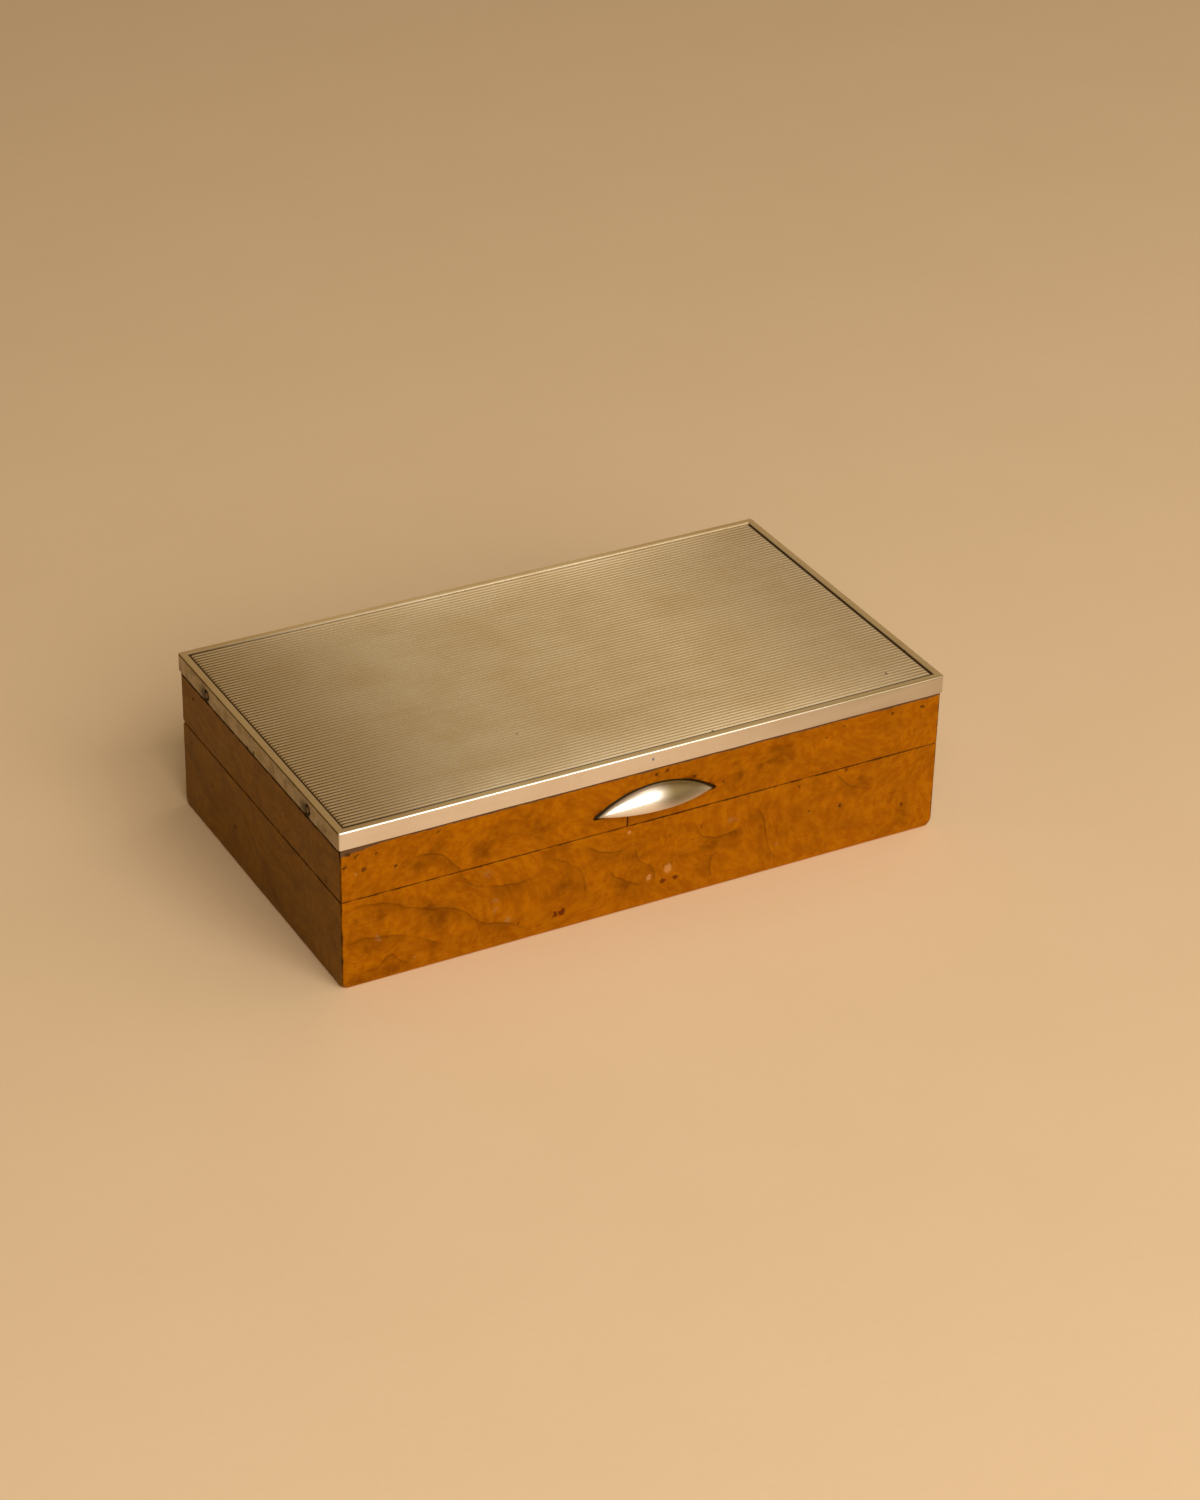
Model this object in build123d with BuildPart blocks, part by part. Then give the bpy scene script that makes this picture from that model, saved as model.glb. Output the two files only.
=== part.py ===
from build123d import *
from math import radians, sqrt, tan
import os

# Wooden table box with a hinged lid under a reeded metal cover, in millimetres.
# X runs along the front, the front faces -Y, Z is up, and the origin is the middle of the underside.

# Overall sizes, over the metal cover
box_length = 200.0
box_width = 115.0
base_height = 29.4  # from the table to the parting line
lid_wood_height = 17.7  # from the parting line to the cover's rim
rim_height = 5.9  # turned-down edge of the cover

# Metal cover
sheet = 0.6
border_width = 2.4  # plain flat band inside the rim
groove_width = 0.7  # between the band and the reeds
groove_depth = 0.35
reed_pitch = 1.49
reed_depth = 0.28
reed_root = 0.1  # how far the reeds are rooted in the sheet
cover_edge_radius = 0.45
cover_corner_radius = 0.9

# Wooden boards
wall = 8.5
foot_round = 0.9  # lower edges
corner_wear = 3.9  # how far each edge is worn away at a lower corner
arris = 0.3  # easing of the sharp outer edges
bottom_thickness = 5.0
bottom_rebate = 2.5
top_thickness = 4.7
top_rebate = 4.0
board_play = 0.05  # glue room round a let-in board

# Cedar lining
lining = 2.2
lining_floor = 2.0
lid_lining = 2.0
lip_height = 2.5  # how far the lining stands above the parting line
lip_clearance = 0.4  # between the lip and the lid's walls
lip_ease = 0.5

# Hinges
open_angle = 100.0  # the bevelled back edges meet here
stop_play = 0.1
hinge_from_end = 45.0  # end of the box to the middle of a hinge
hinge_length = 27.0
hinge_inset = 1.0  # hinge line to the outside of the back
knuckle_radius = 1.6
middle_knuckle = 9.7
knuckle_gap = 0.15  # along the pin
knuckle_room = 0.3  # round the knuckles
leaf_thickness = 0.8
leaf_margin = 0.8  # wood left inside the leaf
hinge_pin_radius = 0.7
pin_hold = 0.02  # pin in the base's knuckles
pin_running = 0.05  # pin in the lid's knuckle

# Hinge screws
screw_spread = 9.0
screw_head_radius = 1.5
screw_shank_radius = 0.85
screw_length = 7.0
screw_point = 1.4
screw_sink = 0.06  # head below the leaf's face
screw_fit = 0.03
slot_width = 0.4
slot_depth = 0.3

# Pins through the cover's rim into the lid's ends
rim_pin_from_corner = 21.4
rim_pin_drop = 3.9  # below the top of the cover
rim_pin_radius = 0.4
rim_pin_cover = 0.6  # wood left in front of the pin's end
rim_pin_head_radius = 0.7
rim_pin_head = 0.25
pin_fit = 0.03

# Thumb piece on the lid's front
thumb_length = 39.6
thumb_offset = 1.5  # right of the middle
thumb_rise = 6.4
thumb_reach = 4.7  # out from the wood
thumb_lift = 5.6  # above the parting line
thumb_recess = 1.0
thumb_margin = 0.7
thumb_pin_radius = 0.7
thumb_pin_spread = 11.0
thumb_pin_rise = 2.0
thumb_pin_hold = 1.6  # length in the metal

# Sizes that follow
wood_length = box_length - 2 * sheet
wood_width = box_width - 2 * sheet
box_height = base_height + lid_wood_height + rim_height
lid_top = box_height - sheet
inner_length = wood_length - 2 * wall
inner_width = wood_width - 2 * wall
lid_wall = wall - lip_clearance
ceiling = lid_top - top_thickness
hinge_y = wood_width / 2 - hinge_inset
hinge_middles = (hinge_from_end - box_length / 2, box_length / 2 - hinge_from_end)
leaf_width = lid_wall - hinge_inset - leaf_margin
screw_y = hinge_y - (knuckle_radius + knuckle_room + leaf_width) / 2
screw_steps = (-screw_spread, 0, screw_spread)
screw_places = [(middle + step, screw_y) for middle in hinge_middles for step in screw_steps]
thumb_foot = base_height + thumb_lift
thumb_pin_front = thumb_recess - thumb_pin_hold
rim_pin_y = (rim_pin_from_corner - box_width / 2, box_width / 2 - rim_pin_from_corner)
rim_pin_z = box_height - rim_pin_drop
rim_pin_length = sheet + lid_wall - top_rebate - rim_pin_cover
UP, DOWN = 1, -1

# Each side: the way into the box, how far its wood stands from the middle, and its length
sides = {
    "front": (Vector(0, 1, 0), wood_width / 2, wood_length),
    "back": (Vector(0, -1, 0), wood_width / 2, wood_length),
    "left": (Vector(1, 0, 0), wood_length / 2, wood_width),
    "right": (Vector(-1, 0, 0), wood_length / 2, wood_width),
}

os.makedirs("parts", exist_ok=True)


def finish(piece, name):
    """Label a finished piece and write it out."""
    piece.part.label = name
    export_step(piece.part, f"parts/{name}.step")


def section_plane(side):
    """Plane across a wall: x goes into the box from its outer face, y goes up."""
    inward, reach, _ = sides[side]
    return Plane(origin=inward * -reach, x_dir=inward, z_dir=inward.cross(Vector(0, 0, 1)))


def mitred_plan(side, thickness):
    """Outline of a wall seen from above, with mitred ends and eased corners."""
    inward, reach, length = sides[side]
    half = length / 2
    plane = Plane(origin=inward * -reach, x_dir=inward.cross(Vector(0, 0, 1)), z_dir=(0, 0, 1))
    with BuildSketch(plane) as plan:
        with BuildLine():
            Polyline(
                (half - arris, 0),
                (half - arris / 2, arris / 2),
                (half - thickness, thickness),
                (thickness - half, thickness),
                (arris / 2 - half, arris / 2),
                (arris - half, 0),
                close=True,
            )
        make_face()
    return plan.sketch


def worn_off(x, y):
    """What is worn off a lower corner: its tip, outside a ball that touches its three edges."""
    corner = Vector(x * wood_length / 2, y * wood_width / 2, 0)
    with BuildPart() as tip:
        with Locations(corner):
            Box(2 * corner_wear, 2 * corner_wear, 2 * corner_wear)
        with Locations(corner + Vector(-x, -y, 1) * corner_wear):
            Sphere(sqrt(2) * corner_wear, mode=Mode.SUBTRACT)
    return tip.part


def base_section(side):
    """Section of a base wall, with a rebate for the bottom board."""
    with BuildSketch(section_plane(side)) as section:
        with BuildLine():
            Polyline(
                (0, 0),
                (wall - bottom_rebate, 0),
                (wall - bottom_rebate, bottom_thickness),
                (wall, bottom_thickness),
                (wall, base_height),
                (arris, base_height),
                (0, base_height - arris),
                close=True,
            )
        make_face()
    return section.sketch


def lid_section(side):
    """Section of a lid wall, with a rebate for the top board."""
    with BuildSketch(section_plane(side)) as section:
        with BuildLine():
            Polyline(
                (arris, base_height),
                (lid_wall, base_height),
                (lid_wall, ceiling),
                (lid_wall - top_rebate, ceiling),
                (lid_wall - top_rebate, lid_top),
                (0, lid_top),
                (0, base_height + arris),
                close=True,
            )
        make_face()
    return section.sketch


def stop_bevel(direction):
    """Wedge cut from the back edges, so that the open lid comes to rest against the base."""
    outside = wood_width / 2 + knuckle_radius
    start = hinge_y - stop_play
    fall = direction * (outside - start) * tan(radians(open_angle / 2))
    with BuildSketch(Plane.YZ) as wedge:
        with BuildLine():
            Polyline((start, base_height), (outside, base_height), (outside, base_height + fall), close=True)
        make_face()
    return wedge.sketch


def hinge_room(direction):
    """Room in a back wall for the leaves, knuckles and screws of both hinges."""
    with BuildPart() as room:
        for middle in hinge_middles:
            with BuildSketch(Plane.YZ.offset(middle)):
                with Locations((hinge_y, base_height)):
                    Circle(knuckle_radius + knuckle_room)
            extrude(amount=hinge_length / 2 + knuckle_room, both=True)
            with BuildSketch(Plane.XY.offset(base_height)):
                with Locations((middle, hinge_y - leaf_width / 2)):
                    Rectangle(hinge_length + 2 * board_play, leaf_width + 2 * board_play)
            extrude(amount=direction * leaf_thickness)
        with BuildSketch(Plane.XY.offset(base_height)):
            with Locations(*screw_places):
                Circle(screw_shank_radius + screw_fit)
        extrude(amount=direction * (screw_length + screw_sink + screw_fit))
    return room.part


def rim_pin_planes(side):
    """Places of the pins on one end of the cover, looking out of the box."""
    inward = sides[side][0]
    end = inward * (-box_length / 2)
    return [Plane(origin=end + Vector(0, y, rim_pin_z), z_dir=-inward) for y in rim_pin_y]


def thumb_outline(margin=0):
    """The thumb piece seen from the front, a flat foot under a low arc, grown by a margin for its recess."""
    half = thumb_length / 2
    with BuildSketch(Plane.XZ.offset(wood_width / 2)) as outline:
        with BuildLine():
            foot = Line((thumb_offset - half, thumb_foot), (thumb_offset + half, thumb_foot))
            ThreePointArc(foot @ 1, (thumb_offset, thumb_foot + thumb_rise), foot @ 0)
        make_face()
        if margin:
            offset(amount=margin)
    return outline.sketch


def thumb_pin_bars(radius, start, stop):
    """Two round bars along Y, between two depths behind the lid's front."""
    with BuildPart() as pins:
        with BuildSketch(Plane.XZ.offset(wood_width / 2 - start)):
            for step in (-thumb_pin_spread, thumb_pin_spread):
                with Locations((thumb_offset + step, thumb_foot + thumb_pin_rise)):
                    Circle(radius)
        extrude(amount=start - stop)
    return pins.part


# Outer form of the base, with eased lower edges and worn lower corners
with BuildPart() as base_form:
    with BuildSketch(Plane.XY):
        Rectangle(wood_length, wood_width)
    extrude(amount=base_height)
    fillet(base_form.edges().group_by(Axis.Z)[0], radius=foot_round)
    for x in (-1, 1):
        for y in (-1, 1):
            add(worn_off(x, y), mode=Mode.SUBTRACT)

# Base walls
for side, (inward, reach, length) in sides.items():
    with BuildPart() as base_wall:
        extrude(base_section(side), amount=length / 2, both=True)
        extrude(mitred_plan(side, wall), amount=base_height, mode=Mode.INTERSECT)
        add(base_form.part, mode=Mode.INTERSECT)
        if side != "front":
            extrude(stop_bevel(DOWN), amount=box_length / 2, both=True, mode=Mode.SUBTRACT)
        if side == "back":
            add(hinge_room(DOWN), mode=Mode.SUBTRACT)
    finish(base_wall, f"base_{side}_wall")

# Bottom board, flush with the foot of the walls
with BuildPart() as base_bottom_board:
    with BuildSketch(Plane.XY):
        let_in = 2 * (bottom_rebate - board_play)
        Rectangle(inner_length + let_in, inner_width + let_in)
    extrude(amount=bottom_thickness)
finish(base_bottom_board, "base_bottom_board")

# Cedar lining of the base
lining_length = inner_length - 2 * board_play
lining_width = inner_width - 2 * board_play
lining_base = bottom_thickness + lining_floor

with BuildPart() as base_lining_floor:
    with BuildSketch(Plane.XY.offset(bottom_thickness)):
        Rectangle(lining_length, lining_width)
    extrude(amount=lining_floor)
finish(base_lining_floor, "base_lining_floor")

lining_boards = {
    "front": (0, (lining - lining_width) / 2, lining_length, lining),
    "back": (0, (lining_width - lining) / 2, lining_length, lining),
    "left": ((lining - lining_length) / 2, 0, lining, lining_width - 2 * lining),
    "right": ((lining_length - lining) / 2, 0, lining, lining_width - 2 * lining),
}
for side, (x, y, length, width) in lining_boards.items():
    with BuildPart() as lining_board:
        with BuildSketch(Plane.XY.offset(lining_base)):
            with Locations((x, y)):
                Rectangle(length, width)
        extrude(amount=base_height + lip_height - lining_base)
        chamfer(lining_board.edges().group_by(Axis.Z)[-1], length=lip_ease)
    finish(lining_board, f"base_lining_{side}")

# Lid walls
for side, (inward, reach, length) in sides.items():
    with BuildPart() as lid_wall_board:
        extrude(lid_section(side), amount=length / 2, both=True)
        extrude(mitred_plan(side, lid_wall), amount=lid_top, mode=Mode.INTERSECT)
        if side != "front":
            extrude(stop_bevel(UP), amount=box_length / 2, both=True, mode=Mode.SUBTRACT)
        if side == "back":
            add(hinge_room(UP), mode=Mode.SUBTRACT)
        if side == "front":
            extrude(thumb_outline(thumb_margin), amount=-thumb_recess, mode=Mode.SUBTRACT)
            add(thumb_pin_bars(thumb_pin_radius + pin_fit, 0, lid_wall), mode=Mode.SUBTRACT)
        if side in ("left", "right"):
            with Locations(*rim_pin_planes(side)):
                Hole(rim_pin_radius + pin_fit, depth=rim_pin_length + pin_fit)
    finish(lid_wall_board, f"lid_{side}_wall")

# Top board of the lid, under the metal, and the cedar panel below it
with BuildPart() as lid_top_board:
    with BuildSketch(Plane.XY.offset(ceiling)):
        rebate_line = 2 * (lid_wall - top_rebate + board_play)
        Rectangle(wood_length - rebate_line, wood_width - rebate_line)
    extrude(amount=top_thickness)
finish(lid_top_board, "lid_top_board")

with BuildPart() as lid_lining_panel:
    with BuildSketch(Plane.XY.offset(ceiling - lid_lining)):
        wall_line = 2 * (lid_wall + board_play)
        Rectangle(wood_length - wall_line, wood_width - wall_line)
    extrude(amount=lid_lining)
finish(lid_lining_panel, "lid_lining_panel")

# Metal cover: a shallow pan over the lid, with a field of reeds sunk inside a plain border
field_length = box_length - 2 * border_width
field_width = box_width - 2 * border_width
reeds_length = field_length - 2 * groove_width
reeds_width = field_width - 2 * groove_width
reed_count = round(reeds_width / reed_pitch)
reed_step = reeds_width / reed_count
field_floor = box_height - groove_depth
valley = box_height - reed_depth

with BuildPart() as silver_cover:
    with BuildSketch(Plane.XY.offset(box_height - rim_height)):
        RectangleRounded(box_length, box_width, cover_corner_radius)
    extrude(amount=rim_height)
    fillet(silver_cover.edges().group_by(Axis.Z)[-1], radius=cover_edge_radius)
    with BuildSketch(Plane.XY.offset(box_height - rim_height)):
        Rectangle(wood_length, wood_width)
    extrude(amount=rim_height - sheet, mode=Mode.SUBTRACT)
    with BuildSketch(Plane.XY.offset(box_height)):
        Rectangle(field_length, field_width)
    extrude(amount=-groove_depth, mode=Mode.SUBTRACT)
    with BuildSketch(Plane.YZ):
        with BuildLine():
            edge = reeds_width / 2
            root = field_floor - reed_root
            Polyline((edge, valley), (edge, root), (-edge, root), (-edge, valley))
            for reed in range(reed_count):
                near = reed * reed_step - edge
                ThreePointArc((near, valley), (near + reed_step / 2, box_height), (near + reed_step, valley))
        make_face()
    extrude(amount=reeds_length / 2, both=True)
    for side in ("left", "right"):
        with Locations(*rim_pin_planes(side)):
            Hole(rim_pin_radius + pin_fit, depth=2 * sheet)
finish(silver_cover, "silver_cover")

# Pins through the rim
with BuildPart() as rim_pin:
    with BuildSketch(Plane.XZ):
        with BuildLine():
            Polyline((0, rim_pin_head), (0, -rim_pin_length), (rim_pin_radius, -rim_pin_length),
                     (rim_pin_radius, 0), (rim_pin_head_radius, 0))
            TangentArc((0, rim_pin_head), (rim_pin_head_radius, 0), tangent=(1, 0))
        make_face()
    revolve(axis=Axis.Z)

with BuildPart() as cover_pins:
    for side in ("left", "right"):
        with Locations(*rim_pin_planes(side)):
            add(rim_pin.part)
finish(cover_pins, "cover_pins")

# Thumb piece: a quarter of a pointed spindle with a flat underside, rooted in its recess
with BuildPart() as thumb_piece:
    chord = Axis((thumb_offset, -wood_width / 2, thumb_foot), (1, 0, 0))
    revolve(thumb_outline(), axis=chord, revolution_arc=90)
    scale(by=(1, thumb_reach / thumb_rise, 1), about=chord.position)
    extrude(thumb_outline(), amount=-thumb_recess)
    add(thumb_pin_bars(thumb_pin_radius + pin_fit, thumb_pin_front, thumb_recess), mode=Mode.SUBTRACT)
finish(thumb_piece, "thumb_piece")

with BuildPart() as thumb_pins:
    add(thumb_pin_bars(thumb_pin_radius, thumb_pin_front, lid_wall))
finish(thumb_pins, "thumb_pins")

# Butt hinges: the base's leaf has the two outer knuckles and holds the pin, the lid's leaf has the middle one
half_hinge = hinge_length / 2
half_middle = middle_knuckle / 2
outer_knuckles = [(-half_hinge, -half_middle - knuckle_gap), (half_middle + knuckle_gap, half_hinge)]
middle_knuckles = [(-half_middle, half_middle)]


def knuckle_bar(middle, start, stop, radius):
    """A round bar on the hinge line between two places along it."""
    with BuildPart() as bar:
        with BuildSketch(Plane.YZ.offset(middle + start)):
            with Locations((hinge_y, base_height)):
                Circle(radius)
        extrude(amount=stop - start)
    return bar.part


def hinge_leaf(middle, direction, knuckles, other_knuckles, pin_room):
    """One leaf, let in flush with the parting line, with its knuckles and countersunk screw holes."""
    with BuildPart() as leaf:
        with BuildSketch(Plane.XY.offset(base_height)):
            with Locations((middle, hinge_y - leaf_width / 2)):
                Rectangle(hinge_length, leaf_width)
        extrude(amount=direction * leaf_thickness)
        for start, stop in other_knuckles:
            clear = knuckle_bar(middle, start - knuckle_gap, stop + knuckle_gap, knuckle_radius + knuckle_gap)
            add(clear, mode=Mode.SUBTRACT)
        for start, stop in knuckles:
            add(knuckle_bar(middle, start, stop, knuckle_radius))
        bore = knuckle_bar(middle, -half_hinge, half_hinge, hinge_pin_radius + pin_room)
        add(bore, mode=Mode.SUBTRACT)
        for step in screw_steps:
            with Locations(Plane(origin=(middle + step, screw_y, base_height), z_dir=(0, 0, -direction))):
                CounterSinkHole(
                    screw_shank_radius + screw_fit,
                    screw_head_radius + screw_sink + screw_fit,
                    counter_sink_angle=90,
                )
    return leaf


for hand, middle in zip(("left", "right"), hinge_middles):
    base_leaf = hinge_leaf(middle, DOWN, outer_knuckles, middle_knuckles, pin_hold)
    finish(base_leaf, f"hinge_{hand}_base_leaf")
    lid_leaf = hinge_leaf(middle, UP, middle_knuckles, outer_knuckles, pin_running)
    finish(lid_leaf, f"hinge_{hand}_lid_leaf")
    with BuildPart() as hinge_pin:
        add(knuckle_bar(middle, -half_hinge, half_hinge, hinge_pin_radius))
    finish(hinge_pin, f"hinge_{hand}_pin")

# Countersunk wood screws with a slot, standing on their points
with BuildPart() as screw:
    with BuildSketch(Plane.XZ):
        with BuildLine():
            Polyline(
                (0, 0),
                (screw_head_radius, 0),
                (screw_shank_radius, screw_shank_radius - screw_head_radius),
                (screw_shank_radius, screw_point - screw_length),
                (0, -screw_length),
                close=True,
            )
        make_face()
    revolve(axis=Axis.Z)
    with BuildSketch(Plane.XY):
        Rectangle(2 * screw_head_radius, slot_width)
    extrude(amount=-slot_depth, mode=Mode.SUBTRACT)

for body, direction in (("base", DOWN), ("lid", UP)):
    with BuildPart() as hinge_screws:
        for x, y in screw_places:
            head = Vector(x, y, base_height + direction * screw_sink)
            with Locations(Plane(origin=head, z_dir=(0, 0, -direction))):
                add(screw.part)
    finish(hinge_screws, f"hinge_{body}_screws")
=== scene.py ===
import bmesh
import bpy
import numpy as np
from math import cos, hypot, pi, radians, sin, sqrt
from mathutils import Matrix, Vector, noise


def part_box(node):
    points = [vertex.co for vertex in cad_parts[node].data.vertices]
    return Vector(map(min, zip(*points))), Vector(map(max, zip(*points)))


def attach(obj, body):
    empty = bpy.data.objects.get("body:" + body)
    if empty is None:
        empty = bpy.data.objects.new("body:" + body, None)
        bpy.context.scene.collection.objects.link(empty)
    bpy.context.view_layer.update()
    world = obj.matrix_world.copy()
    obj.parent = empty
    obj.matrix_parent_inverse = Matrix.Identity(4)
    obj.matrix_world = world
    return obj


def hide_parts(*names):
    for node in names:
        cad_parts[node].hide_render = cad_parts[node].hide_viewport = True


# An old table box of figured wood under a reeded silver cover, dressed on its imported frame, in metres.
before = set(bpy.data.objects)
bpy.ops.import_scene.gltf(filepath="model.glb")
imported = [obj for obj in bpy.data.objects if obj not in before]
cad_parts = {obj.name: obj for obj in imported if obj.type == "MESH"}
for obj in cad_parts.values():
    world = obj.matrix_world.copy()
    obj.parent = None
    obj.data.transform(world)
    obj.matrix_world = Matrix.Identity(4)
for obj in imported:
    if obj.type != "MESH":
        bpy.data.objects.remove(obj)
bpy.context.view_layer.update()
MM = 0.001

# Places read from the frame
wood_half_length = -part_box("base_left_wall")[0].x
wood_half_width = -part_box("base_front_wall")[0].y
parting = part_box("base_front_wall")[1].z
wood_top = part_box("lid_top_board")[1].z
cover_low, cover_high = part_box("silver_cover")
thumb_low, thumb_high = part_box("thumb_piece")
pins_low, pins_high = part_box("cover_pins")

# Silver cover
sheet = cover_high.z - wood_top
border_width = 2.4 * MM
groove_width = 0.7 * MM
groove_depth = 0.35 * MM
reed_pitch = 1.49 * MM
reed_depth = 0.28 * MM
reed_wear = 0.18 * MM  # off the crests in the middle
edge_radius = 0.4 * MM
corner_radius = 0.9 * MM
worn_corner_radius = 1.1 * MM  # at the front right
rim_arris = 0.1 * MM
rim_lift = 0.24 * MM  # unevenness of the rim's lower edge
rim_wave = 11 * MM  # size of its bends
rim_wave_seed = 7.0
rim_bend_height = 2 * MM  # of the strip that bends
steps_per_reed = 8
end_columns = 8  # on the rounded end of a reed
middle_columns = 41
edge_steps = 6
rim_steps = 16

# Dirt between the reeds and in the groove round them
left_fade = 70 * MM  # over which the lines between the reeds grow faint
right_fade = 40 * MM
right_dirt = 0.7  # against 1 at the left
middle_dirt = 0.03
back_dirt = 0.2  # of the groove along the back, far from the left
dirt_start, dirt_width = 0.42, 0.35  # from the crest, in half reeds

# Rim pins
pin_cad_radius = (pins_high.z - pins_low.z) / 2
pin_y = (pins_high.y - pins_low.y) / 2 - pin_cad_radius
pin_z = (pins_high.z + pins_low.z) / 2
pin_dent = 0.42 * MM
pin_dent_radius = 1.6 * MM
pin_lift = 0.5 * MM  # of the rim's lower edge under a pin
pin_head_radius = 0.9 * MM
pin_shank_radius = pin_head_radius / 2
pin_shoulder = 0.2 * MM
pin_dome = 0.2 * MM
pin_length = 3.0 * MM
pin_sides = 20

# Thumb piece
thumb_gap = 0.4 * MM  # drawn in at each tip, where its recess shows
thumb_growth = 0.35 * MM  # of its arc, into the clearance of its recess
thumb_lip = 0.5 * MM
thumb_sections = 65

# Boards
foot_round = 0.9 * MM
arris_radius = 0.4 * MM
parting_radius = 0.35 * MM
mean_wear = 1.15  # of the arrises and the parting edges, times their radius
wear_swing = 0.6  # to both sides of that
wear_wave = 9 * MM
ripple = 0.05 * MM
ripple_wave = 13 * MM
ripple_seed = 3.0
ripple_skin = 0.1 * MM  # within which a point counts as on the outside
grid_step = 2.5 * MM

# Meshes
tiny = 0.001 * MM
flat_angle = radians(0.5)  # below which faces count as one
smooth_angle = radians(38)  # below which faces meet without a crease

# Camera, at the photograph's viewing angle, with its lens and sensor in millimetres
camera_place = Vector((-456.92, -849.43, 598.76)) * MM
camera_pitch = radians(59.176)
camera_roll = radians(1.303)
camera_yaw = radians(-29.016)
camera_lens = 88.51
camera_sensor = 36.0
camera = bpy.data.objects.new("camera", bpy.data.cameras.new("camera"))
camera.data.lens = camera_lens
camera.data.sensor_width = camera_sensor
camera.matrix_world = (
    Matrix.Translation(camera_place)
    @ Matrix.Rotation(camera_yaw, 4, "Z")
    @ Matrix.Rotation(camera_pitch, 4, "X")
    @ Matrix.Rotation(camera_roll, 4, "Z")
)
bpy.context.scene.collection.objects.link(camera)
bpy.context.scene.camera = camera
bpy.context.scene.view_settings.view_transform = "Standard"


def colour(red, green, blue):
    """A screen colour, from 0 to 255 each, as the linear colour that a shader takes."""
    def linear(level):
        share = level / 255
        return share / 12.92 if share <= 0.04045 else ((share + 0.055) / 1.055) ** 2.4
    return (linear(red), linear(green), linear(blue), 1.0)


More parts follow.
